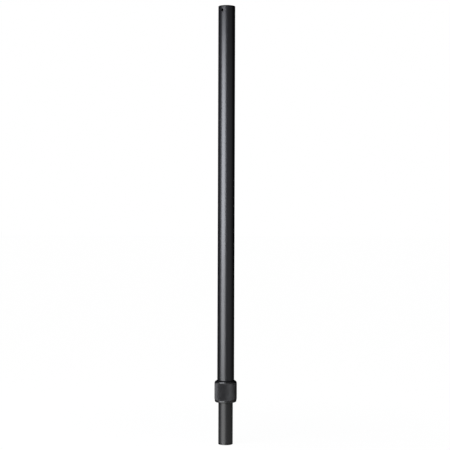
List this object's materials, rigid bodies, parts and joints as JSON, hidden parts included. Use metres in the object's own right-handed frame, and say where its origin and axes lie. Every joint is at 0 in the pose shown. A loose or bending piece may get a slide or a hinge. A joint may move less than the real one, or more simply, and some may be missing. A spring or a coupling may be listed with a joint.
{
  "type": "boom pole",
  "caption": "Telescoping boom pole: a slim inner tube slides in a stout outer tube and is held by a rubber-gripped twist-lock collar.",
  "frame": {"origin": "centre of the slim tube's end face, the lowest point of the pole as it stands in its rest pose", "axes": "+Z along the pole, from the slim microphone end up to the stout base end; the cord hole through the base end runs along Y; the guide keys lie along X"},
  "size_m": [0.0464, 0.0464, 0.907],
  "materials": {
    "tube_anodised": "matt black anodised, fine satin grain",
    "fitting_anodised": "satin black anodised, fine turning marks",
    "ferrule_metal": "bright turned",
    "grip_rubber": "matt black, fine grip texture",
    "pad_rubber": "matt black",
    "bumper_rubber": "matt",
    "seal_rubber": "smooth black",
    "wiper_felt": "dense grey felt",
    "bush_acetal": "black acetal",
    "collet_acetal": "natural acetal",
    "plug_plastic": "moulded black",
    "insert_steel": "turned stainless"
  },
  "bodies": {
    "outer_section": {"outer_tube": "tube_anodised", "threaded_ferrule": "ferrule_metal", "front_guide_bush": "bush_acetal", "base_plug": "plug_plastic", "base_pad": "pad_rubber", "plug_o_ring": "seal_rubber", "retraction_bumper": "bumper_rubber"},
    "collet_unit": {"collet": "collet_acetal", "thrust_washer": "collet_acetal"},
    "collar": {"lock_collar": "fitting_anodised", "grip_sleeve": "grip_rubber", "nose_ring": "fitting_anodised", "wiper_seal": "wiper_felt", "dust_seal": "seal_rubber"},
    "inner_section": {"inner_tube": "tube_anodised", "tip_plug": "fitting_anodised", "thread_insert": "insert_steel", "rear_guide_bush": "bush_acetal", "guide_keys": "bush_acetal", "extension_bumper": "bumper_rubber", "rear_plug": "plug_plastic"}
  },
  "joints": [
    {"name": "tube_extend", "type": "slide", "parent": "outer_section", "child": "inner_section", "axis": [0, 0, -1], "range_m": [0, 0.637]},
    {"name": "collet_travel", "type": "slide", "parent": "outer_section", "child": "collet_unit", "axis": [0, 0, -1], "range_m": [0, 0.0005]},
    {"name": "collar_twist", "type": "hinge", "parent": "collet_unit", "child": "collar", "pos_m": [0, 0, 0.1065], "axis": [0, 0, -1], "range_deg": [0, 120]}
  ],
  "couplings": [
    {"joint": "collet_travel", "follows": "collar_twist", "m_per_rad": 0.00023873}
  ]
}
